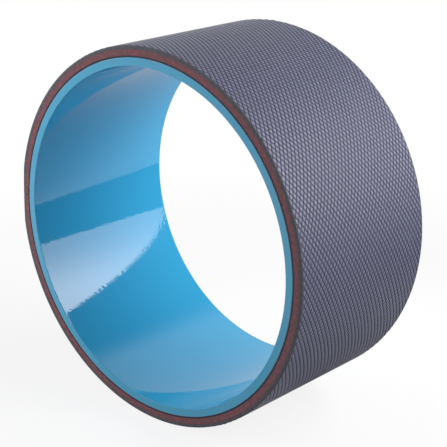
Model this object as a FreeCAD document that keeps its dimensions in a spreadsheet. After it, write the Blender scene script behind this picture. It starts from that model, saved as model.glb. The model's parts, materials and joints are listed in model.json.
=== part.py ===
import FreeCAD, Part
import math
import os
import Sketcher

# Yoga wheel: a rigid plastic hoop with a strip of two-layer foam mat bonded round it.
# The wheel stands on its tread. Its axis lies along Y, its centre is at the origin and +Z is up.
# Lengths are in millimetres and angles in degrees.

# Driving dimensions: name, value and what it measures
DIMENSIONS = (
    ("bore_radius", 116.5, "radius of the smooth bore of the hoop"),
    ("hoop_wall", 5.7, "wall of the hoop, from its bore to the adhesive"),
    ("hoop_width", 127.0, "width of the hoop along the wheel's axis"),
    ("hoop_edge_break", 0.6, "bevel that breaks the four edges of the hoop"),
    ("film_thickness", 0.6, "adhesive between the hoop and the mat strip"),
    ("film_set_back", 0.8, "from the hoop's rim face in to the adhesive"),
    ("cushion_thickness", 4.6, "inner layer of the mat strip"),
    ("grip_thickness", 2.6, "outer layer of the mat strip"),
    ("strip_set_back", 0.1, "from the hoop's rim face in to the edge of the mat strip"),
    ("tread_edge_radius", 0.7, "rounding of the outer edges of the grip layer"),
    ("joint_gap", 0.4, "gap between the two ends of the mat strip, at the tread"),
    ("joint_flat", 1.5, "how far the tread is pressed down to a flat at the joint"),
    ("joint_blend_radius", 60.0, "rounding between the flat at the joint and the rest of the tread"),
    ("joint_edge_radius", 0.6, "rounding of the ends of the grip layer at the joint"),
    ("joint_turn", 2.5, "turn of the joint about the axis, upwards from the -X side"),
)

# Share of a layer that a rounding, bevel or flat may take, so that a flat or a wall is always left
EASED_SHARE = 0.8

# Lines of a rectangle in a sketch, and the sketch's own origin
LOW, RIGHT, HIGH, LEFT = range(4)
ORIGIN = (-1, 1)

# Corners of a ring's section and of the joint's flat as they are first drawn, before their sizes are set
ROUGH_SECTION = ((100, -50), (110, -50), (110, 50), (100, 50))
ROUGH_FLAT = ((-140, -50), (-130, -50), (-130, 50), (-140, 50))

# Outer radius of each ring, built up from the bore
HOOP_OUTER = "Sizes.bore_radius + Sizes.hoop_wall"
FILM_OUTER = HOOP_OUTER + " + Sizes.film_thickness"
CUSHION_OUTER = FILM_OUTER + " + Sizes.cushion_thickness"
GRIP_OUTER = CUSHION_OUTER + " + Sizes.grip_thickness"

FILM_WIDTH = "Sizes.hoop_width - 2 * Sizes.film_set_back"
STRIP_WIDTH = "Sizes.hoop_width - 2 * Sizes.strip_set_back"

FULL_TURN = "360 deg"
STRIP_TURN = f"360 deg - Sizes.joint_gap / ({GRIP_OUTER}) * 180 deg / pi"

WHEEL_AXIS = FreeCAD.Vector(0, 1, 0)


def write_sheet(doc):
    """Puts the driving dimensions in a sheet, one to a row, each under its own name."""
    sheet = doc.addObject("Spreadsheet::Sheet", "Sizes")
    for row, (name, value, meaning) in enumerate(DIMENSIONS, start=1):
        sheet.set(f"A{row}", meaning)
        sheet.set(f"B{row}", str(value))
        sheet.setAlias(f"B{row}", name)
    doc.recompute()
    return sheet


def add_body(doc, label):
    """Starts a sub-part."""
    body = doc.addObject("PartDesign::Body", label)
    body.Label = label
    return body


def origin_plane(body, role):
    """The body's own origin plane with that role."""
    return next(plane for plane in body.Origin.OriginFeatures if plane.Role == role)


def draw_box(body, name, plane, corners, driven):
    """Draws a rectangle, even about the sketch's level axis, with sizes that follow the sheet."""
    sketch = body.newObject("Sketcher::SketchObject", f"{body.Label}_{name}")
    sketch.AttachmentSupport = [(origin_plane(body, plane), "")]
    sketch.MapMode = "FlatFace"
    places = [FreeCAD.Vector(across, up, 0) for across, up in corners]
    ends = {ORIGIN: FreeCAD.Vector()}
    for line, (start, end) in enumerate(zip(places, places[1:] + places[:1])):
        sketch.addGeometry(Part.LineSegment(start, end), False)
        ends[line, 1], ends[line, 2] = start, end
    for line in (LOW, RIGHT, HIGH, LEFT):
        sketch.addConstraint(Sketcher.Constraint("Coincident", line, 2, (line + 1) % 4, 1))
    for line in (LOW, HIGH):
        sketch.addConstraint(Sketcher.Constraint("Horizontal", line))
    sketch.addConstraint(Sketcher.Constraint("Vertical", LEFT))
    sketch.addConstraint(Sketcher.Constraint("Symmetric", RIGHT, 1, RIGHT, 2, -1))
    for label, kind, first, second, expression in driven:
        step = ends[second] - ends[first]
        rough = step.x if kind == "DistanceX" else step.y
        index = sketch.addConstraint(Sketcher.Constraint(kind, *first, *second, rough))
        sketch.renameConstraint(index, label)
        sketch.setExpression(f"Constraints.{label}", expression)
    return sketch


def spin_ring(body, inner_radius, thickness, width, turn):
    """Revolves a ring's section about the wheel's axis, by the same angle to both sides of +X."""
    sketch = draw_box(body, "section", "XY_Plane", ROUGH_SECTION, (
        ("inner_radius", "DistanceX", ORIGIN, (LEFT, 2), inner_radius),
        ("thickness", "DistanceX", (LOW, 1), (LOW, 2), thickness),
        ("width", "DistanceY", (RIGHT, 1), (RIGHT, 2), width),
    ))
    ring = body.newObject("PartDesign::Revolution", f"{body.Label}_ring")
    ring.Profile = sketch
    ring.ReferenceAxis = (sketch, ["V_Axis"])
    ring.Midplane = True
    ring.setExpression("Angle", turn)
    body.Document.recompute()
    return ring


def ease_edges(body, kind, base, size, is_eased):
    """Rounds (a Fillet) or bevels (a Chamfer) those edges of the body that the test picks."""
    feature = body.newObject(f"PartDesign::{kind}", f"{body.Label}_{kind.lower()}")
    picked = [f"Edge{i}" for i, edge in enumerate(base.Shape.Edges, start=1) if is_eased(edge)]
    feature.Base = (base, picked)
    feature.setExpression("Radius" if kind == "Fillet" else "Size", size)
    body.Document.recompute()
    return feature


def is_round(edge):
    """True for an edge that runs round the wheel."""
    return isinstance(edge.Curve, Part.Circle)


def is_across(edge):
    """True for an edge that runs along the wheel's axis."""
    start, end = edge.Vertexes[0], edge.Vertexes[-1]
    return abs(end.Y - start.Y) > math.hypot(end.X - start.X, end.Z - start.Z)


def is_beyond(edge, radius):
    """True for an edge whose ends both lie further than that radius from the wheel's axis."""
    return all(math.hypot(end.X, end.Z) > radius for end in edge.Vertexes)


def at_joint(edge, sheet):
    """True for an edge beside the gap of the joint, which is on the -X side before the layer is turned."""
    return all(end.X < 0 and abs(end.Z) < sheet.joint_gap for end in edge.Vertexes)


def press_flat(body, level, depth, length):
    """Cuts a flat across the joint, at that level from the wheel's axis."""
    sketch = draw_box(body, "joint_flat", "XZ_Plane", ROUGH_FLAT, (
        ("level", "DistanceX", (RIGHT, 1), ORIGIN, level),
        ("depth", "DistanceX", (LOW, 1), (LOW, 2), depth),
        ("length", "DistanceY", (RIGHT, 1), (RIGHT, 2), length),
    ))
    flat = body.newObject("PartDesign::Pocket", f"{body.Label}_flat")
    flat.Profile = sketch
    flat.Type = "ThroughAll"
    flat.Midplane = True
    body.Document.recompute()
    return flat


def turn_to_joint(body):
    """Turns a strip layer about the axis, so that its joint stands where the wheel has it."""
    body.Placement = FreeCAD.Placement(FreeCAD.Vector(), FreeCAD.Rotation(WHEEL_AXIS, 0))
    body.setExpression("Placement.Rotation.Axis.y", "1")
    body.setExpression("Placement.Rotation.Angle", "Sizes.joint_turn * 1 deg")


def make_rigid_hoop(doc):
    """The moulded hoop: a plain wall with a smooth bore, a flat rim face each side and broken edges."""
    body = add_body(doc, "rigid_hoop")
    ring = spin_ring(body, "Sizes.bore_radius", "Sizes.hoop_wall", "Sizes.hoop_width", FULL_TURN)
    edge_break = f"min(Sizes.hoop_edge_break; Sizes.hoop_wall / 2 * {EASED_SHARE})"
    ease_edges(body, "Chamfer", ring, edge_break, is_round)
    return body


def make_adhesive_film(doc):
    """The adhesive under the mat strip, short of the rim faces by its set-back."""
    body = add_body(doc, "adhesive_film")
    spin_ring(body, HOOP_OUTER, "Sizes.film_thickness", FILM_WIDTH, FULL_TURN)
    return body


def make_cushion_layer(doc):
    """The inner mat layer, wrapped round the adhesive, with its ends butted at the joint."""
    body = add_body(doc, "cushion_layer")
    spin_ring(body, FILM_OUTER, "Sizes.cushion_thickness", STRIP_WIDTH, STRIP_TURN)
    turn_to_joint(body)
    return body


def make_grip_layer(doc, sheet):
    """The outer mat layer: pressed flat at the joint, with eased ends there and rounded tread edges."""
    body = add_body(doc, "grip_layer")
    spin_ring(body, CUSHION_OUTER, "Sizes.grip_thickness", STRIP_WIDTH, STRIP_TURN)
    pressed = f"min(Sizes.joint_flat; Sizes.grip_thickness * {EASED_SHARE})"
    flat = press_flat(body, f"{GRIP_OUTER} - {pressed}", f"2 * {pressed}", f"2 * ({GRIP_OUTER})")
    cushion_outer = sheet.bore_radius + sheet.hoop_wall + sheet.film_thickness + sheet.cushion_thickness
    end_wall = sheet.grip_thickness - min(sheet.joint_flat, sheet.grip_thickness * EASED_SHARE)

    def crosses_tread(edge):
        """True for an edge that runs across the tread."""
        return is_across(edge) and is_beyond(edge, cushion_outer + end_wall / 2)

    blend = ease_edges(body, "Fillet", flat, "Sizes.joint_blend_radius",
                       lambda edge: crosses_tread(edge) and not at_joint(edge, sheet))
    end_rounding = f"min(Sizes.joint_edge_radius; (Sizes.grip_thickness - {pressed}) * {EASED_SHARE})"
    ends = ease_edges(body, "Fillet", blend, end_rounding,
                      lambda edge: crosses_tread(edge) and at_joint(edge, sheet))
    tread_rounding = f"min(Sizes.tread_edge_radius; (Sizes.grip_thickness - {pressed}) * {EASED_SHARE})"
    ease_edges(body, "Fillet", ends, tread_rounding,
               lambda edge: is_beyond(edge, cushion_outer + end_wall / 10) and not is_across(edge))
    turn_to_joint(body)
    return body


def check(doc, bodies):
    """Stops if a feature failed or a sub-part isn't one sound solid."""
    for item in doc.Objects:
        if "Invalid" in item.State or "Error" in item.State:
            raise RuntimeError(f"{item.Label} failed: {item.State}")
    for body in bodies:
        if body.Shape.isNull() or not body.Shape.isValid() or len(body.Shape.Solids) != 1:
            raise RuntimeError(f"{body.Label} is not one sound solid")


def main():
    """Builds the wheel and writes each sub-part to its own file."""
    doc = FreeCAD.newDocument("yoga_wheel")
    sheet = write_sheet(doc)
    bodies = [
        make_rigid_hoop(doc),
        make_adhesive_film(doc),
        make_cushion_layer(doc),
        make_grip_layer(doc, sheet),
    ]
    doc.recompute()
    check(doc, bodies)
    os.makedirs("parts", exist_ok=True)
    for body in bodies:
        body.Shape.exportStep(f"parts/{body.Label}.step")
        box = body.Shape.optimalBoundingBox(False, False)
        sides = f"{box.XLength:.2f} x {box.YLength:.2f} x {box.ZLength:.2f} mm"
        print(f"{body.Label}: {body.Shape.Volume / 1000:.1f} cm3, {sides}")


main()
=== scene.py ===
"""Looks of the yoga wheel: a glossy hoop, its adhesive and the two foam layers wrapped round it.

The wheel's axis lies along Y, its centre is at the origin and +Z is up. Lengths are in metres.
"""
import json
import logging
import math
from dataclasses import dataclass
from enum import Enum
from typing import Any

import bmesh
import bpy
from mathutils import Matrix, Vector, noise


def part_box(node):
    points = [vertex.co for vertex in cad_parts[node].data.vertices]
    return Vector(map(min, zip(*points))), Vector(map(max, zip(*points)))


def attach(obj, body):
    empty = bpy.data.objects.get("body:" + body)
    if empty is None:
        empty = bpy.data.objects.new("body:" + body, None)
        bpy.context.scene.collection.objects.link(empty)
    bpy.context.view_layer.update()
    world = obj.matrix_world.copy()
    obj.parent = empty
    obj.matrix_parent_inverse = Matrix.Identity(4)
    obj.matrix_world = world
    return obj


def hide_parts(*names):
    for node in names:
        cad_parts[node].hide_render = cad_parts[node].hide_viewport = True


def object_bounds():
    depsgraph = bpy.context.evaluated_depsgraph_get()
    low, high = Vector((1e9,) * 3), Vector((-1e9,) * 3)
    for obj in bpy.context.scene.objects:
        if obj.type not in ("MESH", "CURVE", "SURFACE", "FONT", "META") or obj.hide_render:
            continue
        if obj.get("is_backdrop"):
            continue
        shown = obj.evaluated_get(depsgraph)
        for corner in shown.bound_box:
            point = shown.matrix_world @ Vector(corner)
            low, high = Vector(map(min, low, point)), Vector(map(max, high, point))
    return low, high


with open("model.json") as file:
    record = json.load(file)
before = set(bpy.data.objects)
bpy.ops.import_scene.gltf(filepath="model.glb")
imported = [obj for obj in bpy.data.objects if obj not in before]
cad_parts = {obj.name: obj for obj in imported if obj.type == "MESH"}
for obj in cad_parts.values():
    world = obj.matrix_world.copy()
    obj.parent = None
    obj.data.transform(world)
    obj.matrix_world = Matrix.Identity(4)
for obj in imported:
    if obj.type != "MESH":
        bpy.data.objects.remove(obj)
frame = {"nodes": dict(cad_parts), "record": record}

LOG = logging.getLogger("yoga_wheel")

Colour = tuple[float, float, float, float]

MM = 0.001
BODY = "root"

# Points nearer to each other than this are merged
SEAM = 0.002 * MM

# A point nearer to a plane than this counts as on it
ON_PLANE = 0.01 * MM

# Steps of a section's rounded corner
CORNER_STEPS = 5

# A positive turn about this axis goes from +X towards +Z
TURN_AXIS = Vector((0.0, -1.0, 0.0))

# Attribute of the tread: 0 in its grooves and 1 on its stud tops
RAISED = "raised"


@dataclass(frozen=True)
class ButtJoint:
    """The mat strip's joint, where its ends are butted and pressed flat.

    Attributes:
        turn: Place of the joint, as an angle from +X towards +Z.
        gap: Gap between the ends of the tread.
        flat: Depth of the flat that is pressed into the tread.
        blend: How softly the flat runs out into the round tread.
        reach: Angle from the joint beyond which the tread is round.
    """

    turn: float = math.radians(177.5)
    gap: float = 0.4 * MM
    flat: float = 1.5 * MM
    blend: float = 0.25 * MM
    reach: float = math.radians(30.0)

    def drop(self, offset: float, radius: float) -> float:
        """How far the tread is pressed down.

        Args:
            offset: Angle from the joint.
            radius: Radius of the tread away from the joint.

        Returns:
            The drop towards the axis, blended into the round tread beside the flat.
        """
        if abs(offset) > self.reach:
            return 0.0
        below = radius - (radius - self.flat) / math.cos(offset)
        return (below + math.hypot(below, self.blend)) / 2


JOINT = ButtJoint()


class Slot(Enum):
    """Material slots of the wheel's record."""

    HOOP = "hoop_plastic"
    ADHESIVE = "adhesive"
    CUSHION = "cushion_foam"
    GRIP = "grip_foam"


class Seen(Enum):
    """Kinds of ray that a studio card can be left out of."""

    CAMERA = "visible_camera"
    DIFFUSE = "visible_diffuse"
    SHADOW = "visible_shadow"


def srgb(red: int, green: int, blue: int) -> Colour:
    """Turns a colour written as 0 to 255 into the linear colour that a shader takes.

    Args:
        red: Red, as a picture stores it.
        green: Green, as a picture stores it.
        blue: Blue, as a picture stores it.

    Returns:
        The linear colour with an alpha of 1.
    """
    def linear(level: int) -> float:
        """Undoes the picture's curve for one channel."""
        share = level / 255
        return share / 12.92 if share <= 0.04045 else ((share + 0.055) / 1.055) ** 2.4

    return (linear(red), linear(green), linear(blue), 1.0)


@dataclass(frozen=True)
class RingSize:
    """Section of a ring about the wheel's axis.

    Attributes:
        inner: Radius of its inner face.
        outer: Radius of its outer face.
        half_width: Half of its width along the axis.
    """

    inner: float
    outer: float
    half_width: float

    @property
    def wall(self) -> float:
        """Thickness of the ring, from its inner to its outer face."""
        return self.outer - self.inner


def outer_radius(node: str) -> float:
    """Largest distance of a node's surface from the wheel's axis."""
    return max(math.hypot(vert.co.x, vert.co.z) for vert in frame["nodes"][node].data.vertices)


def half_width(node: str) -> float:
    """Half of a node's width along the wheel's axis."""
    low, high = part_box(node)
    return (high.y - low.y) / 2


def ring_sizes() -> dict[str, RingSize]:
    """Reads the section of each ring from the frame, from the bore outwards.

    Returns:
        The section of each node, where each ring starts on the one inside it.
    """
    bore = next(mount for mount in frame["record"]["mounts"] if mount["name"] == "bore")
    inner = bore["dims"]["r_mm"] * MM
    sizes = {}
    for node in ("rigid_hoop", "adhesive_film", "cushion_layer", "grip_layer"):
        sizes[node] = RingSize(inner, outer_radius(node), half_width(node))
        inner = sizes[node].outer
    return sizes


def draw_section(bm: bmesh.types.BMesh, size: RingSize, rounding: float, support: float) -> None:
    """Draws a ring's section beside the axis, as one closed loop of edges with rounded corners.

    Args:
        bm: Empty mesh that gets the section.
        size: Section of the ring.
        rounding: Radius of the four corners.
        support: Distance from a corner to the point that keeps the flat face beside it flat.
    """
    middle = size.inner + size.wall / 2
    bmesh.ops.create_grid(bm, x_segments=1, y_segments=1, size=0.5)
    bmesh.ops.scale(bm, vec=(size.wall, 2 * size.half_width, 1.0), verts=bm.verts)
    bmesh.ops.translate(bm, vec=(middle, 0.0, 0.0), verts=bm.verts)
    bmesh.ops.bevel(bm, geom=bm.verts[:], offset=rounding, offset_type="OFFSET", segments=CORNER_STEPS,
                    profile=0.5, affect="VERTICES", material=-1)
    across, along = Vector((1.0, 0.0, 0.0)), Vector((0.0, 1.0, 0.0))
    for side in (-1, 1):
        for normal, start, half in ((across, middle, size.wall / 2), (along, 0.0, size.half_width)):
            place = normal * (start + side * (half - support))
            bmesh.ops.bisect_plane(bm, geom=bm.verts[:] + bm.edges[:] + bm.faces[:],
                                   plane_co=place, plane_no=normal)
    inside = [edge for edge in bm.edges if not edge.is_boundary]
    bmesh.ops.delete(bm, geom=bm.faces[:], context="FACES_ONLY")
    bmesh.ops.delete(bm, geom=inside, context="EDGES")


def spin_round(bm: bmesh.types.BMesh, steps: int, gap: float = 0.0) -> None:
    """Spins a section about the wheel's axis, all round or short of a gap at the joint.

    Args:
        bm: Mesh that holds the section.
        steps: Number of steps round the wheel.
        gap: Angle left open at the joint, or 0 for a closed ring.
    """
    if gap:
        bmesh.ops.rotate(bm, verts=bm.verts, cent=(0.0, 0.0, 0.0),
                         matrix=Matrix.Rotation(JOINT.turn + gap / 2, 3, TURN_AXIS))
    bmesh.ops.spin(bm, geom=bm.verts[:] + bm.edges[:], cent=(0.0, 0.0, 0.0), axis=TURN_AXIS,
                   angle=2 * math.pi - gap, steps=steps, use_merge=not gap)
    if gap:
        bmesh.ops.holes_fill(bm, edges=[edge for edge in bm.edges if edge.is_boundary])


def make_piece(bm: bmesh.types.BMesh, name: str) -> bpy.types.Object:
    """Closes a mesh's seams and puts it in the scene as a smooth piece.

    Args:
        bm: Finished mesh, which is freed.
        name: Name of the piece.

    Returns:
        The piece, at the origin.
    """
    bmesh.ops.remove_doubles(bm, verts=bm.verts, dist=SEAM)
    bmesh.ops.recalc_face_normals(bm, faces=bm.faces)
    for face in bm.faces:
        face.smooth = True
    mesh = bpy.data.meshes.new(name)
    bm.to_mesh(mesh)
    bm.free()
    piece = bpy.data.objects.new(name, mesh)
    bpy.context.scene.collection.objects.link(piece)
    return piece


class NodeDesk:
    """Places the nodes of one material or group and links them."""

    def __init__(self, tree: bpy.types.NodeTree) -> None:
        """Starts on an empty tree."""
        self.tree = tree
        self.tree.nodes.clear()

    def add(self, kind: str, inputs: dict[str | int, Any] | None = None, **settings: Any) -> Any:
        """Adds a node.

        Args:
            kind: Blender's type name of the node.
            inputs: Value, or socket to link from, for each input by name or number.
            settings: Properties of the node.

        Returns:
            The node.
        """
        node = self.tree.nodes.new(kind)
        for name, value in settings.items():
            setattr(node, name, value)
        for name, value in (inputs or {}).items():
            if isinstance(value, bpy.types.NodeSocket):
                self.tree.links.new(value, node.inputs[name])
            else:
                node.inputs[name].default_value = value
        return node

    def math(self, operation: str, first: Any, second: Any = 0.0) -> Any:
        """Adds a Math node and gives its result."""
        return self.add("ShaderNodeMath", {0: first, 1: second}, operation=operation).outputs["Value"]

    def span(self, value: Any, low: float, high: float, new_low: float = 0.0, new_high: float = 1.0) -> Any:
        """Maps a value from one range to another, smoothly and within its ends.

        Args:
            value: Value, or socket to link from.
            low: Start of the first range.
            high: End of the first range.
            new_low: Start of the second range.
            new_high: End of the second range.

        Returns:
            The socket of the mapped value.
        """
        node = self.add("ShaderNodeMapRange", {
            "Value": value, "From Min": low, "From Max": high, "To Min": new_low, "To Max": new_high,
        }, interpolation_type="SMOOTHSTEP")
        return node.outputs["Result"]

    def mix(self, share: Any, first: Any, second: Any) -> Any:
        """Mixes two colours and gives the result."""
        node = self.add("ShaderNodeMix", {0: share, 6: first, 7: second}, data_type="RGBA")
        return node.outputs[2]

    def noise(self, vector: Any, scale: float, detail: float = 2.0, roughness: float = 0.5) -> Any:
        """Adds a noise texture.

        Args:
            vector: Socket of the coordinates.
            scale: Waves in a metre.
            detail: Number of finer octaves.
            roughness: Strength of each octave beside the one before.

        Returns:
            The socket of the texture's value.
        """
        node = self.add("ShaderNodeTexNoise", {
            "Vector": vector, "Scale": scale, "Detail": detail, "Roughness": roughness,
        })
        return node.outputs["Fac"]

    def place(self) -> Any:
        """Coordinates on the piece itself."""
        return self.add("ShaderNodeTexCoord").outputs["Object"]


def start_material(name: str) -> tuple[bpy.types.Material, NodeDesk]:
    """Starts a material with an empty node tree.

    Args:
        name: Name of the material.

    Returns:
        The material, and the desk for its nodes.
    """
    material = bpy.data.materials.new(name)
    material.use_nodes = True
    return material, NodeDesk(material.node_tree)


def start_group(name: str, inputs: dict[str, str], outputs: dict[str, str]) -> tuple[NodeDesk, Any, Any]:
    """Starts a node group with named sockets.

    Args:
        name: Name of the group.
        inputs: Socket type of each input.
        outputs: Socket type of each output.

    Returns:
        The desk for its nodes, the outputs of its input node, and the inputs of its output node.
    """
    group = bpy.data.node_groups.new(name, "ShaderNodeTree")
    for sockets, direction in ((inputs, "INPUT"), (outputs, "OUTPUT")):
        for socket, kind in sockets.items():
            group.interface.new_socket(socket, in_out=direction, socket_type=kind)
    desk = NodeDesk(group)
    return desk, desk.add("NodeGroupInput").outputs, desk.add("NodeGroupOutput").inputs


class SharedEffects:
    """Node groups that more than one finish uses, each built once."""

    FLOAT = "NodeSocketFloat"
    VECTOR = "NodeSocketVector"

    def __init__(self) -> None:
        """Builds every group."""
        self.wheel_place = self.build_wheel_place()
        self.foam_cells = self.build_foam_cells()
        self.handling = self.build_handling()

    def build_wheel_place(self) -> bpy.types.NodeTree:
        """Distance from the wheel's axis, and distance from its middle along the axis.

        Returns:
            The group.
        """
        desk, given, made = start_group(
            "wheel_place", {"Place": self.VECTOR}, {"Radius": self.FLOAT, "Along": self.FLOAT})
        parts = desk.add("ShaderNodeSeparateXYZ", {0: given["Place"]}).outputs
        squares = [desk.math("MULTIPLY", parts[axis], parts[axis]) for axis in ("X", "Z")]
        radius = desk.math("SQRT", desk.math("ADD", *squares))
        desk.tree.links.new(radius, made["Radius"])
        desk.tree.links.new(desk.math("ABSOLUTE", parts["Y"]), made["Along"])
        return desk.tree

    def build_foam_cells(self) -> bpy.types.NodeTree:
        """Cut foam: open cells of two sizes, and the uneven tint between them.

        Returns:
            The group.
        """
        desk, given, made = start_group(
            "foam_cells", {"Place": self.VECTOR, "Scale": self.FLOAT},
            {"Cells": self.FLOAT, "Mottle": self.FLOAT, "Height": self.FLOAT})
        scaled = desk.add("ShaderNodeVectorMath", {0: given["Place"], 3: given["Scale"]}, operation="SCALE")
        place = scaled.outputs["Vector"]
        coarse = desk.add("ShaderNodeTexVoronoi", {"Vector": place, "Scale": 1.0, "Randomness": 1.0})
        fine = desk.add("ShaderNodeTexVoronoi", {"Vector": place, "Scale": 2.6, "Randomness": 1.0})
        pits = desk.math("MULTIPLY", desk.span(coarse.outputs["Distance"], 0.1, 0.55),
                         desk.span(fine.outputs["Distance"], 0.05, 0.5, 0.55, 1.0))
        mottle = desk.noise(place, 0.22, 4.0, 0.62)
        height = desk.math("ADD", desk.math("MULTIPLY", pits, 0.7), desk.math("MULTIPLY", mottle, 0.3))
        for name, value in (("Cells", pits), ("Mottle", mottle), ("Height", height)):
            desk.tree.links.new(value, made[name])
        return desk.tree

    def build_handling(self) -> bpy.types.NodeTree:
        """Marks of use: broad smudges, and fine scuffs that are longer one way.

        Returns:
            The group.
        """
        desk, given, made = start_group(
            "handling", {"Place": self.VECTOR, "Scale": self.FLOAT},
            {"Smudge": self.FLOAT, "Scuff": self.FLOAT})
        scaled = desk.add("ShaderNodeVectorMath", {0: given["Place"], 3: given["Scale"]}, operation="SCALE")
        place = scaled.outputs["Vector"]
        smudge = desk.span(desk.noise(place, 1.0, 5.0, 0.6), 0.35, 0.7)
        drawn = desk.add("ShaderNodeMapping", {
            "Vector": place, "Rotation": (0.3, 0.2, 0.7), "Scale": (30.0, 2.5, 6.0)})
        scuff = desk.span(desk.noise(drawn.outputs["Vector"], 1.0, 3.0, 0.55), 0.62, 0.74)
        for name, value in (("Smudge", smudge), ("Scuff", scuff)):
            desk.tree.links.new(value, made[name])
        return desk.tree


@dataclass(frozen=True)
class Finish:
    """A surface finish, which may place the effects that finishes share."""

    effects: SharedEffects

    def close(self, desk: NodeDesk, **inputs: Any) -> None:
        """Adds the surface shader, and links it to the material's output.

        Args:
            desk: Desk of the material.
            inputs: Value, or socket to link from, for each input, with _ for a space in its name.
        """
        named = {name.replace("_", " "): value for name, value in inputs.items()}
        shader = desk.add("ShaderNodeBsdfPrincipled", named)
        desk.add("ShaderNodeOutputMaterial", {"Surface": shader.outputs["BSDF"]})

    def group(self, desk: NodeDesk, tree: bpy.types.NodeTree, **inputs: Any) -> Any:
        """Places a shared effect with these inputs and gives its outputs."""
        return desk.add("ShaderNodeGroup", inputs, node_tree=tree).outputs


@dataclass(frozen=True)
class HoopPlastic(Finish):
    """Glossy moulded plastic in sky blue, with a faint orange peel, light scuffs and a paler, rougher outer
    edge to the rim's face, partly dust and dried adhesive and partly a painted highlight.

    Attributes:
        size: Section of the hoop.
        blue: Colour of the plastic.
        deep_blue: Colour where the pigment is denser.
        dust_and_highlight: Paler colour at the outer edge of the rim's face, partly dust and dried adhesive
            and partly a painted highlight of the edge.
        dust_and_highlight_width: Width of that paler band.
        dust_and_highlight_depth: How far behind the rim's face the band ends, and is full.
        dust_and_highlight_scale: Patches of the band in a metre.
        pigment_scale: Patches of denser pigment in a metre.
        marks_scale: Size of the marks of use, as patches in a metre.
        polish: Roughness where the plastic is clean, and where it is smudged.
        scuffed: Roughness that a scuff adds.
        peel_depth: Depth of the orange peel.
        peel_scale: Waves of the orange peel in a metre.
        ior: Index of refraction.
    """

    size: RingSize
    blue: Colour = srgb(66, 177, 219)
    deep_blue: Colour = srgb(60, 169, 213)
    dust_and_highlight: Colour = srgb(140, 156, 168)
    dust_and_highlight_width: float = 2.0 * MM
    dust_and_highlight_depth: tuple[float, float] = (0.6 * MM, 0.2 * MM)
    dust_and_highlight_scale: float = 60.0
    pigment_scale: float = 11.0
    marks_scale: float = 16.0
    polish: tuple[float, float] = (0.035, 0.055)
    scuffed: float = 0.08
    peel_depth: float = 0.02 * MM
    peel_scale: float = 430.0
    ior: float = 1.72

    def make(self) -> bpy.types.Material:
        """Builds the material.

        Returns:
            The material.
        """
        material, desk = start_material("hoop_plastic")
        place = desk.place()
        wheel = self.group(desk, self.effects.wheel_place, Place=place)
        marks = self.group(desk, self.effects.handling, Place=place, Scale=self.marks_scale)
        body = desk.mix(desk.noise(place, self.pigment_scale, 3.0), self.deep_blue, self.blue)
        # Paler, rougher band in patches at the outer edge of the rim's face: partly dust and dried adhesive,
        # partly a painted highlight of the edge
        face = desk.span(wheel["Along"], *(self.size.half_width - depth for depth in self.dust_and_highlight_depth))
        edge = desk.span(wheel["Radius"], self.size.outer - self.dust_and_highlight_width, self.size.outer)
        patchy = desk.span(desk.noise(place, self.dust_and_highlight_scale, 3.0), 0.3, 0.7, 0.05, 0.35)
        dust_and_highlight_share = desk.math("MULTIPLY", desk.math("MULTIPLY", face, edge), patchy)
        colour = desk.mix(dust_and_highlight_share, body, self.dust_and_highlight)
        gloss = desk.math("ADD", desk.span(marks["Smudge"], 0.0, 1.0, *self.polish),
                          desk.math("MULTIPLY", marks["Scuff"], self.scuffed))
        rough = desk.math("ADD", gloss, desk.math("MULTIPLY", dust_and_highlight_share, 0.5))
        waves = desk.noise(place, self.peel_scale, 0.0)
        peel = desk.add("ShaderNodeBump", {"Strength": 1.0, "Distance": self.peel_depth, "Height": waves})
        self.close(desk, Base_Color=colour, Roughness=rough, Normal=peel.outputs["Normal"], IOR=self.ior)
        return material


@dataclass(frozen=True)
class DriedAdhesive(Finish):
    """Near-black contact adhesive, dried with an uneven skin."""

    dark: Colour = srgb(30, 30, 44)
    dull: Colour = srgb(48, 48, 62)
    lump_scale: float = 420.0
    lump_depth: float = 0.2 * MM

    def make(self) -> bpy.types.Material:
        """Builds the material.

        Returns:
            The material.
        """
        material, desk = start_material("dried_adhesive")
        place = desk.place()
        lumps = desk.noise(place, self.lump_scale, 4.0, 0.6)
        colour = desk.mix(desk.span(lumps, 0.35, 0.65), self.dark, self.dull)
        skin = desk.add("ShaderNodeBump", {"Strength": 0.8, "Distance": self.lump_depth, "Height": lumps})
        self.close(desk, Base_Color=colour, Roughness=desk.span(lumps, 0.3, 0.7, 0.35, 0.6),
                   Normal=skin.outputs["Normal"])
        return material


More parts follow.
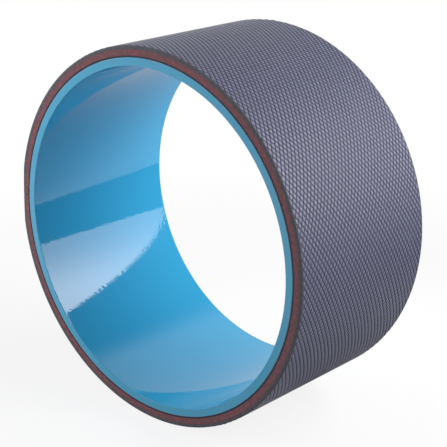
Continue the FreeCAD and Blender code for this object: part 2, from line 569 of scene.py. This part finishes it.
@dataclass(frozen=True)
class CutFoam(Finish):
    """Foam cut through its cells: tinted walls and open cells darkened with painted shade, and a darker band
    at the inner edge that is partly soaked-in adhesive and partly painted shade of the gap.

    Attributes:
        name: Name of the material.
        wall: Colour of the cells' walls.
        pit_shade: Colour in the open cells, darkened as painted shade in them.
        fleck: Colour of the duller patches.
        cell_scale: Coarse cells in a metre.
        cell_depth: Depth of the open cells.
        soak_and_shade: Colour at the inner edge of the cut face, partly adhesive soaked in and partly painted
            shade of the gap beside the hoop.
        soak_and_shade_radius: How far from the wheel's axis that darker band reaches, or 0 for foam without
            it.
        soak_and_shade_edge: Half of the width over which that colour ends.
        soak_and_shade_share: Strength of that colour.
        sheen: Weight of the foam's sheen.
    """

    name: str
    wall: Colour
    pit_shade: Colour
    fleck: Colour
    cell_scale: float
    cell_depth: float = 0.25 * MM
    soak_and_shade: Colour = srgb(48, 42, 56)
    soak_and_shade_radius: float = 0.0
    soak_and_shade_edge: float = 0.15 * MM
    soak_and_shade_share: float = 0.85
    sheen: float = 0.08

    def make(self) -> bpy.types.Material:
        """Builds the material.

        Returns:
            The material.
        """
        material, desk = start_material(self.name)
        place = desk.place()
        wheel = self.group(desk, self.effects.wheel_place, Place=place)
        foam = self.group(desk, self.effects.foam_cells, Place=place, Scale=self.cell_scale)
        tint = desk.mix(desk.span(foam["Mottle"], 0.38, 0.66), self.fleck, self.wall)
        # Painted shade: the open cells are darker than the walls between them
        cut_face_colour = desk.mix(desk.span(foam["Cells"], 0.05, 0.5), self.pit_shade, tint)
        # Darker band at the cut face's inner edge, beside the hoop: partly adhesive soaked in, partly painted
        # shade of the gap
        beyond = desk.math("SUBTRACT", wheel["Radius"], self.soak_and_shade_radius)
        soak_and_shade_mask = desk.span(beyond, -self.soak_and_shade_edge, self.soak_and_shade_edge, self.soak_and_shade_share, 0.0)
        colour = desk.mix(soak_and_shade_mask, cut_face_colour, self.soak_and_shade)
        pores = desk.add("ShaderNodeBump", {
            "Strength": 0.7, "Distance": self.cell_depth, "Height": foam["Height"]})
        self.close(desk, Base_Color=colour, Roughness=desk.span(foam["Cells"], 0.0, 1.0, 0.9, 0.7),
                   Normal=pores.outputs["Normal"], Sheen_Weight=self.sheen, Sheen_Roughness=0.5)
        return material


@dataclass(frozen=True)
class GripSkin(Finish):
    """Embossed foam skin: pale polished stud tops above grooves darkened partly by dust and partly by painted
    shade, with a fine grain.
    """

    top: Colour = srgb(124, 129, 155)
    groove_dust_and_shade: Colour = srgb(43, 45, 58)
    dusty: Colour = srgb(133, 138, 163)
    marks_scale: float = 22.0
    sheen: float = 0.08
    grain_scale: float = 2400.0
    grain_depth: float = 0.06 * MM

    def make(self) -> bpy.types.Material:
        """Builds the material.

        Returns:
            The material.
        """
        material, desk = start_material("grip_skin")
        place = desk.place()
        marks = self.group(desk, self.effects.handling, Place=place, Scale=self.marks_scale)
        foam = self.group(desk, self.effects.foam_cells, Place=place, Scale=self.grain_scale)
        raised = desk.span(desk.add("ShaderNodeAttribute", attribute_name=RAISED).outputs["Fac"], 0.15, 1.0)
        top = desk.mix(desk.math("MULTIPLY", marks["Smudge"], 0.35), self.top, self.dusty)
        # Painted shade: the grooves, and the pressed-down border with them, are darker than the stud tops,
        # partly dust and partly shade
        skin = desk.mix(raised, self.groove_dust_and_shade, top)
        grained = desk.mix(desk.span(foam["Mottle"], 0.3, 0.7, 0.16, 0.0), skin, self.groove_dust_and_shade)
        grain = desk.add("ShaderNodeBump", {
            "Strength": 0.35, "Distance": self.grain_depth, "Height": foam["Height"]})
        self.close(desk, Base_Color=grained, Roughness=desk.span(raised, 0.0, 1.0, 0.8, 0.32),
                   Normal=grain.outputs["Normal"], Sheen_Weight=self.sheen, Sheen_Roughness=0.4)
        return material


@dataclass
class RigidHoop:
    """The moulded hoop, with a smooth bore and broken edges."""

    size: RingSize
    effects: SharedEffects
    rounding: float = 0.4 * MM
    support: float = 0.9 * MM
    steps: int = 288

    def build(self) -> bpy.types.Object:
        """Spins the hoop's section into a closed ring.

        Returns:
            The hoop, still undressed.
        """
        bm = bmesh.new()
        draw_section(bm, self.size, self.rounding, self.support)
        spin_round(bm, self.steps)
        return make_piece(bm, "hoop")

    def dress(self, piece: bpy.types.Object) -> None:
        """Gives the hoop its finish, and its place on the frame.

        Args:
            piece: The hoop.
        """
        piece.data.materials.append(HoopPlastic(self.effects, self.size).make())
        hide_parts("rigid_hoop")
        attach(piece, BODY)


@dataclass
class AdhesiveFilm:
    """The dried adhesive between the hoop and the mat strip, with an uneven edge."""

    size: RingSize
    effects: SharedEffects
    rounding: float = 0.15 * MM
    support: float = 0.25 * MM
    steps: int = 360
    squeezed_out: float = 0.5 * MM
    spread: float = 0.25 * MM
    spread_scale: float = 160.0

    def build(self) -> bpy.types.Object:
        """Spins the film's section, and lets its edges come out and wander as squeezed adhesive does.

        Returns:
            The film, still undressed.
        """
        bm = bmesh.new()
        draw_section(bm, self.size, self.rounding, self.support)
        spin_round(bm, self.steps)
        for vert in bm.verts:
            wander = noise.noise(vert.co * self.spread_scale) * self.spread
            vert.co.y += math.copysign(self.squeezed_out + wander, vert.co.y)
        return make_piece(bm, "adhesive")

    def dress(self, piece: bpy.types.Object) -> None:
        """Gives the film its finish, and its place on the frame.

        Args:
            piece: The film.
        """
        piece.data.materials.append(DriedAdhesive(self.effects).make())
        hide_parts("adhesive_film")
        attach(piece, BODY)


@dataclass
class CushionLayer:
    """The inner mat layer, cut through its cells at both edges and butted at the joint."""

    size: RingSize
    effects: SharedEffects
    rounding: float = 0.25 * MM
    support: float = 0.5 * MM
    steps: int = 540
    joint_gap: float = 0.1 * MM
    # Width of the darker band at the cut faces' inner edge: partly adhesive soaked in, partly painted shade
    # of the gap beside the hoop
    soak_and_shade: float = 0.5 * MM
    ripple: float = 0.12 * MM
    ripple_scale: float = 300.0

    def build(self) -> bpy.types.Object:
        """Spins the layer's section as far as the joint, and roughens its cut edges.

        Returns:
            The layer, still undressed.
        """
        bm = bmesh.new()
        draw_section(bm, self.size, self.rounding, self.support)
        spin_round(bm, self.steps, self.joint_gap / self.size.outer)
        for vert in bm.verts:
            if abs(vert.co.y) > self.size.half_width - self.support:
                lift = abs(noise.noise(vert.co * self.ripple_scale)) * self.ripple
                vert.co.y -= math.copysign(lift, vert.co.y)
        return make_piece(bm, "cushion")

    def dress(self, piece: bpy.types.Object) -> None:
        """Gives the layer its finish, and its place on the frame.

        Args:
            piece: The layer.
        """
        foam = CutFoam(self.effects, "cushion_foam", wall=srgb(152, 92, 96), pit_shade=srgb(88, 57, 63),
                       fleck=srgb(115, 88, 95), cell_scale=1500.0,
                       soak_and_shade_radius=self.size.inner + self.soak_and_shade)
        piece.data.materials.append(foam.make())
        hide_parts("cushion_layer")
        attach(piece, BODY)


@dataclass
class GripLayer:
    """The outer mat layer: a strip embossed with rows of staggered studs, then wrapped round the wheel.

    Attributes:
        size: Section of the layer.
        effects: Effects that the finishes share.
        stud_length: Length of a lozenge, round the wheel.
        stud_width: Width of a lozenge, across the strip.
        groove_depth: Depth of the grooves between the studs.
        stud_steps: Inset of each step up a stud, and its share of that depth.
        askew: Turn of the rows of studs on the strip.
        border_depth: How far the tread's border is pressed down.
        border_step: Points of the border nearer than this become one.
        edge_rounding: Rounding along the two sides.
        end_rounding: Rounding at the two ends.
        rounding_steps: Steps of both roundings.
        cut_slot: Material slot of the cut foam.
    """

    size: RingSize
    effects: SharedEffects
    stud_length: float = 5.95 * MM
    stud_width: float = 3.5 * MM
    groove_depth: float = 0.5 * MM
    stud_steps: tuple[tuple[float, float], ...] = ((0.42 * MM, 0.65), (0.4 * MM, 0.35))
    askew: float = math.radians(-2.5)
    border_depth: float = 0.28 * MM
    border_step: float = 0.3 * MM
    edge_rounding: float = 0.7 * MM
    end_rounding: float = 0.6 * MM
    rounding_steps: int = 2
    cut_slot: int = 1

    @property
    def length(self) -> float:
        """Length of the strip round the tread, short of the joint's gap."""
        return 2 * math.pi * self.size.outer - JOINT.gap

    @property
    def tread_half(self) -> Vector:
        """Half of the tread's length and width, short of its rounded edges."""
        return Vector((self.length / 2 - self.end_rounding, self.size.half_width - self.edge_rounding))

    def build(self) -> bpy.types.Object:
        """Embosses a sheet, cuts the strip from it, closes the strip and wraps it round the wheel.

        Returns:
            The layer, still undressed.
        """
        bm = bmesh.new()
        self.emboss(bm)
        self.cut_strip(bm)
        self.round_edges(bm)
        self.close_back(bm)
        self.wrap(bm)
        return make_piece(bm, "grip")

    def emboss(self, bm: bmesh.types.BMesh) -> None:
        """Lays out a sheet as a lattice of equal lozenges, and raises a rounded stud on each.

        Args:
            bm: Empty mesh that gets the sheet, where the stud tops are at 0.
        """
        half = self.tread_half
        spare = abs(math.sin(self.askew))
        rows = 2 * math.ceil((half.x + spare * half.y) / self.stud_length)
        columns = 2 * math.ceil((half.y + spare * half.x) / self.stud_width)
        bmesh.ops.create_grid(bm, x_segments=rows, y_segments=columns, size=0.5)
        bmesh.ops.scale(bm, vec=(rows * self.stud_length, columns * self.stud_width, 1.0), verts=bm.verts)
        bmesh.ops.translate(bm, vec=(0.0, 0.0, -self.groove_depth), verts=bm.verts)
        squares = [edge for edge in bm.edges if not edge.is_boundary]
        bmesh.ops.poke(bm, faces=bm.faces[:])
        bmesh.ops.dissolve_edges(bm, edges=squares)
        studs = bm.faces[:]
        for inset, share in self.stud_steps:
            bmesh.ops.inset_individual(bm, faces=studs, thickness=inset, depth=share * self.groove_depth,
                                       use_even_offset=True)

    def cut_strip(self, bm: bmesh.types.BMesh) -> None:
        """Cuts the strip from the sheet, slightly askew to the rows of studs, and presses its border down.

        Args:
            bm: Mesh that holds the embossed sheet.
        """
        bmesh.ops.rotate(bm, verts=bm.verts, cent=(0.0, 0.0, 0.0), matrix=Matrix.Rotation(self.askew, 3, "Z"))
        half = self.tread_half
        for edge in (Vector((half.x, 0.0, 0.0)), Vector((0.0, half.y, 0.0))):
            for place in (edge, -edge):
                bmesh.ops.bisect_plane(bm, geom=bm.verts[:] + bm.edges[:] + bm.faces[:], plane_co=place,
                                       plane_no=place.normalized(), dist=ON_PLANE, clear_outer=True)
        border = [vert for vert in bm.verts if vert.is_boundary]
        for vert in border:
            vert.co.z = -self.border_depth
        bmesh.ops.remove_doubles(bm, verts=border, dist=self.border_step)
        raised = bm.verts.layers.float.new(RAISED)
        for vert in bm.verts:
            vert[raised] = 1 + vert.co.z / self.groove_depth

    def round_edges(self, bm: bmesh.types.BMesh) -> None:
        """Takes the tread's border over a rounded edge and down to the back of the strip.

        Args:
            bm: Mesh that holds the embossed tread.
        """
        reached = self.tread_half
        half = Vector((self.length / 2, self.size.half_width))
        eased = half - reached
        fall = self.edge_rounding - self.border_depth
        for step in range(1, self.rounding_steps + 1):
            turn = math.pi / 2 * step / self.rounding_steps
            target = half - eased * (1 - math.sin(turn))
            level = -self.border_depth - fall * (1 - math.cos(turn))
            self.extend(bm, (target.x / reached.x, target.y / reached.y), level)
            reached = target
        self.extend(bm, (1.0, 1.0), -self.size.wall)

    def extend(self, bm: bmesh.types.BMesh, spread: tuple[float, float], level: float) -> None:
        """Adds one band of cut foam round the strip's border.

        Args:
            bm: Mesh of the strip.
            spread: How much longer and wider the new border is than the old one.
            level: Height of the new border, where the tread's top is 0.
        """
        border = [edge for edge in bm.edges if edge.is_boundary]
        made = bmesh.ops.extrude_edge_only(bm, edges=border)["geom"]
        verts = [item for item in made if isinstance(item, bmesh.types.BMVert)]
        bmesh.ops.scale(bm, vec=(*spread, 1.0), verts=verts)
        for vert in verts:
            vert.co.z = level
        for item in made:
            if isinstance(item, bmesh.types.BMFace):
                item.material_index = self.cut_slot

    def close_back(self, bm: bmesh.types.BMesh) -> None:
        """Closes the back of the strip with one row of faces along it, and a last one at each end.

        Args:
            bm: Mesh of the strip, open at the back.
        """
        border = [edge for edge in bm.edges if edge.is_boundary]
        for edge in border:
            edge.smooth = False
        at_side = self.size.half_width - ON_PLANE
        sides = [edge for edge in border if all(abs(vert.co.y) > at_side for vert in edge.verts)]
        back = bmesh.ops.bridge_loops(bm, edges=sides)["faces"]
        ends = [face for face in back if any(edge.is_boundary for edge in face.edges)]
        bmesh.ops.delete(bm, geom=ends, context="FACES")
        gaps = [edge for edge in bm.edges if edge.is_boundary]
        back += bmesh.ops.holes_fill(bm, edges=gaps)["faces"]
        for face in back:
            if face.is_valid:
                face.material_index = self.cut_slot

    def wrap(self, bm: bmesh.types.BMesh) -> None:
        """Wraps the flat strip round the wheel, with its two ends at the joint.

        Args:
            bm: Mesh of the flat strip, centred on the origin.
        """
        for vert in bm.verts:
            offset = vert.co.x / self.size.outer
            wall = self.size.wall - JOINT.drop(math.pi - abs(offset), self.size.outer)
            radius = self.size.inner + wall * (1 + vert.co.z / self.size.wall)
            turn = JOINT.turn + math.pi + offset
            vert.co = Vector((radius * math.cos(turn), vert.co.y, radius * math.sin(turn)))

    def dress(self, piece: bpy.types.Object) -> None:
        """Gives the layer its two finishes, and its place on the frame.

        Args:
            piece: The layer.
        """
        cut = CutFoam(self.effects, "grip_cut_foam", wall=srgb(100, 102, 108), pit_shade=srgb(63, 64, 69),
                      fleck=srgb(89, 91, 98), cell_scale=1700.0)
        piece.data.materials.append(GripSkin(self.effects).make())
        piece.data.materials.append(cut.make())
        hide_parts("grip_layer")
        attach(piece, BODY)


@dataclass(frozen=True)
class PhotoCamera:
    """The camera's place: round the wheel, above the floor, away from it, and its aim beside the centre."""

    azimuth: float = math.radians(42.18)
    elevation: float = math.radians(18.97)
    distance: float = 915.9 * MM
    aim_right: float = 6.32 * MM
    aim_up: float = -3.43 * MM
    focal_mm: float = 106.21
    sensor_mm: float = 36.0

    def axes(self) -> tuple[Vector, Vector, Vector]:
        """Works out the view's directions.

        Returns:
            The directions to the right, up and back towards the camera.
        """
        a, e = self.azimuth, self.elevation
        right = Vector((math.cos(a), math.sin(a), 0.0))
        back = Vector((math.sin(a) * math.cos(e), -math.cos(a) * math.cos(e), math.sin(e)))
        return right, back.cross(right), back

    def build(self) -> bpy.types.Object:
        """Sets up the camera and makes it the scene's own.

        Returns:
            The camera.
        """
        right, up, back = self.axes()
        lens = bpy.data.cameras.new("photo_camera")
        lens.lens, lens.sensor_width = self.focal_mm, self.sensor_mm
        camera = bpy.data.objects.new("photo_camera", lens)
        camera.location = right * self.aim_right + up * self.aim_up + back * self.distance
        camera.rotation_euler = (-back).to_track_quat("-Z", "Y").to_euler()
        bpy.context.scene.collection.objects.link(camera)
        bpy.context.scene.camera = camera
        return camera


def floor_directions(facing: float) -> tuple[Vector, Vector]:
    """Directions along the floor, out from the wheel and to the left of that.

    Args:
        facing: Direction out from the wheel, in degrees from +X towards +Y.

    Returns:
        The two directions.
    """
    a = math.radians(facing)
    return Vector((math.cos(a), math.sin(a), 0.0)), Vector((-math.sin(a), math.cos(a), 0.0))


@dataclass(frozen=True)
class SoftBox:
    """An upright lamp with a rectangular face, square to the direction from the wheel.

    Attributes:
        name: Name of the lamp.
        facing: Direction from the wheel to the lamp, in degrees from +X towards +Y.
        distance: Distance of its plane from the wheel's centre, along the floor.
        across: Its two sides, as places to the left of that direction.
        upright: Its lower and upper edge, above the wheel's centre.
        radiance: Brightness of its face, where 1 is white.
        tint: Share of that brightness in red, green and blue.
        dimmed: Share of that brightness at its lower edge.
        dimmed_height: Height over which the brightness rises from there.
        mirrored: Whether glossy surfaces show it.
    """

    name: str
    facing: float
    distance: float
    across: tuple[float, float]
    upright: tuple[float, float]
    radiance: float
    tint: tuple[float, float, float] = (1.0, 1.0, 1.0)
    dimmed: float = 1.0
    dimmed_height: float = 0.1
    mirrored: bool = True

    def build(self) -> bpy.types.Object:
        """Hangs the lamp.

        Returns:
            The lamp.
        """
        out, aside = floor_directions(self.facing)
        width, height = (high - low for low, high in (self.across, self.upright))
        lamp = bpy.data.lights.new(self.name, "AREA")
        lamp.shape, lamp.size, lamp.size_y = "RECTANGLE", width, height
        lamp.energy = self.radiance * math.pi * width * height
        lamp.color = self.tint
        lamp.use_nodes = True
        desk = NodeDesk(lamp.node_tree)
        position = desk.add("ShaderNodeNewGeometry").outputs["Position"]
        up = desk.add("ShaderNodeSeparateXYZ", {0: position}).outputs["Z"]
        rise = desk.span(up, self.upright[0], self.upright[0] + self.dimmed_height, self.dimmed, 1.0)
        face = desk.add("ShaderNodeEmission", {"Strength": rise})
        desk.add("ShaderNodeOutputLight", {"Surface": face.outputs[0]})
        holder = bpy.data.objects.new(self.name, lamp)
        holder.location = out * self.distance + aside * (sum(self.across) / 2)
        holder.location.z = sum(self.upright) / 2
        holder.rotation_euler = (-out).to_track_quat("-Z", "Y").to_euler()
        holder.visible_camera = False
        holder.visible_glossy = self.mirrored
        bpy.context.scene.collection.objects.link(holder)
        return holder


@dataclass(frozen=True)
class DarkFlag:
    """A dark card that only mirrors show, with one side that fades away.

    Attributes:
        name: Name of the card.
        facing: Direction from the wheel to the card, in degrees from +X towards +Y.
        distance: Distance of its near edge from the wheel's centre, along the floor.
        across: Its two sides, as places to the left of that direction.
        depth: How far it runs along the floor, away from the wheel.
        height: How far it rises from the floor.
        fade: Width of the fading strip at its left side.
        clearance: Height of its lower edge above the floor.
        colour: Colour of its cloth.
    """

    name: str
    facing: float
    distance: float
    across: tuple[float, float]
    depth: float = 0.0
    height: float = 0.0
    fade: float = 1.0 * MM
    clearance: float = 1.0 * MM
    colour: Colour = srgb(20, 20, 20)

    def build(self, floor_level: float) -> bpy.types.Object:
        """Sets the card on the floor.

        Args:
            floor_level: Height of the floor.

        Returns:
            The card.
        """
        out, aside = floor_directions(self.facing)
        middle = sum(self.across) / 2
        bm = bmesh.new()
        bmesh.ops.create_grid(bm, x_segments=1, y_segments=1, size=0.5)
        bmesh.ops.translate(bm, vec=(0.0, 0.5, 0.0), verts=bm.verts)
        for vert in bm.verts:
            along, share = vert.co.x * (self.across[1] - self.across[0]), vert.co.y
            vert.co = out * (self.distance + self.depth * share) + aside * (middle + along)
            vert.co.z = floor_level + self.clearance + self.height * share
        flag = make_piece(bm, self.name)
        flag.data.materials.append(self.cloth(aside))
        for kind in Seen:
            setattr(flag, kind.value, False)
        flag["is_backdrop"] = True
        return flag

    def cloth(self, aside: Vector) -> bpy.types.Material:
        """Dark cloth that fades to nothing at the card's left side.

        Args:
            aside: Direction to the card's left, along the floor.

        Returns:
            The material.
        """
        material, desk = start_material(self.name)
        place = desk.add("ShaderNodeVectorMath", {0: desk.place(), 1: aside}, operation="DOT_PRODUCT")
        gone = desk.span(place.outputs["Value"], self.across[1] - self.fade, self.across[1])
        dark = desk.add("ShaderNodeBsdfDiffuse", {"Color": self.colour}).outputs[0]
        clear = desk.add("ShaderNodeBsdfTransparent").outputs[0]
        mixed = desk.add("ShaderNodeMixShader", {0: gone, 1: dark, 2: clear})
        desk.add("ShaderNodeOutputMaterial", {"Surface": mixed.outputs[0]})
        return material


@dataclass
class Studio:
    """White floor and surroundings, with soft boxes round the wheel and dark cards in the mirror.

    Attributes:
        floor_level: Height of the floor.
        floor_size: Length of the floor's sides.
        white: White of the surroundings.
        paper_seen: Colour of the paper floor to look at.
        paper_lit: Colour of the light that comes back from it.
        near_white: Share of plain white in the floor beside the wheel, where its shadow falls.
        shadow_span: Distances from the wheel between which that share rises to 1.
        floor_mirrored: Share of the floor's white in a mirror, under the wheel and away from it; the low
            share under the wheel paints the wheel's shadow into the mirrored floor, on top of the paper's own
            shadow.
        mirrored_span: Distances from the wheel between which that share changes.
        front_mirrored: Least share of it in front of the wheel.
        front_edge: Half of the width over which the front ends.
        sky_mirrored: Share of the white surroundings in a mirror.
        ambient: Light of the surroundings.
    """

    floor_level: float
    floor_size: float = 12.0
    white: Colour = srgb(255, 255, 255)
    paper_seen: Colour = srgb(252, 252, 252)
    paper_lit: Colour = srgb(145, 145, 145)
    near_white: float = 0.85
    shadow_span: tuple[float, float] = (0.2, 0.6)
    floor_mirrored: tuple[float, float] = (0.03, 0.75)
    mirrored_span: tuple[float, float] = (0.15, 0.32)
    front_mirrored: float = 0.45
    front_edge: float = 0.04
    sky_mirrored: float = 0.74
    ambient: float = 0.06

    def build(self) -> None:
        """Sets up the floor, the surroundings, the lamps and the cards."""
        bpy.context.scene.view_settings.view_transform = "Standard"
        self.lay_floor()
        self.light_surroundings()
        lamps = (
            SoftBox("right_soft_box", facing=41.0, distance=0.6, across=(-0.56, 0.14),
                    upright=(0.02, 0.92), radiance=4.65, tint=(1.02, 0.985, 1.03),
                    dimmed=0.43, dimmed_height=0.36),
            SoftBox("left_soft_box", facing=-138.0, distance=0.7, across=(-0.15, 0.35),
                    upright=(-0.1, 0.5), radiance=4.55, mirrored=False),
            SoftBox("bore_fill", facing=77.0, distance=0.32, across=(-0.1, 0.1),
                    upright=(0.02, 0.22), radiance=6.8, mirrored=False),
        )
        flags = (
            DarkFlag("side_flag", facing=41.0, distance=0.75, across=(-0.5, 1.4), height=2.5, fade=0.85),
            DarkFlag("floor_flag", facing=18.4, distance=0.2535, across=(-0.25, 0.6), depth=0.5),
        )
        for lamp in lamps:
            lamp.build()
        for flag in flags:
            flag.build(self.floor_level)

    def lay_floor(self) -> None:
        """Lays a large paper floor, white to look at, but greyer as light and in a mirror."""
        bm = bmesh.new()
        bmesh.ops.create_grid(bm, x_segments=1, y_segments=1, size=self.floor_size / 2)
        bmesh.ops.translate(bm, vec=(0.0, 0.0, self.floor_level), verts=bm.verts)
        floor = make_piece(bm, "floor")
        material, desk = start_material("floor_paper")
        straight = desk.add("ShaderNodeLightPath").outputs["Is Camera Ray"]
        tone = desk.mix(straight, self.paper_lit, self.paper_seen)
        paper = desk.add("ShaderNodeBsdfDiffuse", {"Color": tone})
        glow = desk.add("ShaderNodeEmission", {"Color": self.white, "Strength": 1.0})
        place = desk.place()
        distance = desk.add("ShaderNodeVectorMath", {0: place}, operation="LENGTH").outputs["Value"]
        along = desk.add("ShaderNodeSeparateXYZ", {0: place}).outputs["Y"]
        # Painted shadow in the mirror: the floor's white fades out near the wheel, and stays brighter in
        # front of it
        mirrored = desk.math("MAXIMUM", desk.span(distance, *self.mirrored_span, *self.floor_mirrored),
                             desk.span(along, -self.front_edge, self.front_edge, self.front_mirrored, 0.0))
        share = desk.math("MULTIPLY", self.seen(desk, mirrored),
                          desk.span(distance, *self.shadow_span, self.near_white, 1.0))
        mixed = desk.add("ShaderNodeMixShader", {0: share, 1: paper.outputs[0], 2: glow.outputs[0]})
        desk.add("ShaderNodeOutputMaterial", {"Surface": mixed.outputs[0]})
        floor.data.materials.append(material)
        floor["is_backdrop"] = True

    def seen(self, desk: NodeDesk, mirrored: Any) -> Any:
        """Mask of the rays that show the white surroundings: straight, through glass and mirrored.

        Args:
            desk: Desk of the material or world.
            mirrored: Share of the white that a mirrored ray shows.

        Returns:
            The mask.
        """
        path = desk.add("ShaderNodeLightPath").outputs
        straight = desk.math("MAXIMUM", path["Is Camera Ray"], path["Is Transmission Ray"])
        return desk.math("MAXIMUM", straight, desk.math("MULTIPLY", path["Is Glossy Ray"], mirrored))

    def light_surroundings(self) -> None:
        """Makes the surroundings white to look at, and gentler as light."""
        world = bpy.data.worlds.new("studio")
        world.use_nodes = True
        desk = NodeDesk(world.node_tree)
        strength = desk.math("MAXIMUM", self.seen(desk, self.sky_mirrored), self.ambient)
        white = desk.add("ShaderNodeBackground", {"Color": self.white, "Strength": strength})
        desk.add("ShaderNodeOutputWorld", {"Surface": white.outputs[0]})
        bpy.context.scene.world = world


def main() -> None:
    """Builds the wheel piece by piece, then the studio and the camera."""
    logging.basicConfig(level=logging.INFO, format="%(message)s")
    cad_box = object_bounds()
    sizes = ring_sizes()
    effects = SharedEffects()
    layers = (
        RigidHoop(sizes["rigid_hoop"], effects),
        AdhesiveFilm(sizes["adhesive_film"], effects),
        CushionLayer(sizes["cushion_layer"], effects),
        GripLayer(sizes["grip_layer"], effects),
    )
    for layer in layers:
        piece = layer.build()
        layer.dress(piece)
        triangles = sum(len(face.vertices) - 2 for face in piece.data.polygons)
        LOG.info("%s: %d triangles", piece.name, triangles)
    Studio(floor_level=cad_box[0].z).build()
    PhotoCamera().build()


if __name__ == "__main__":
    main()
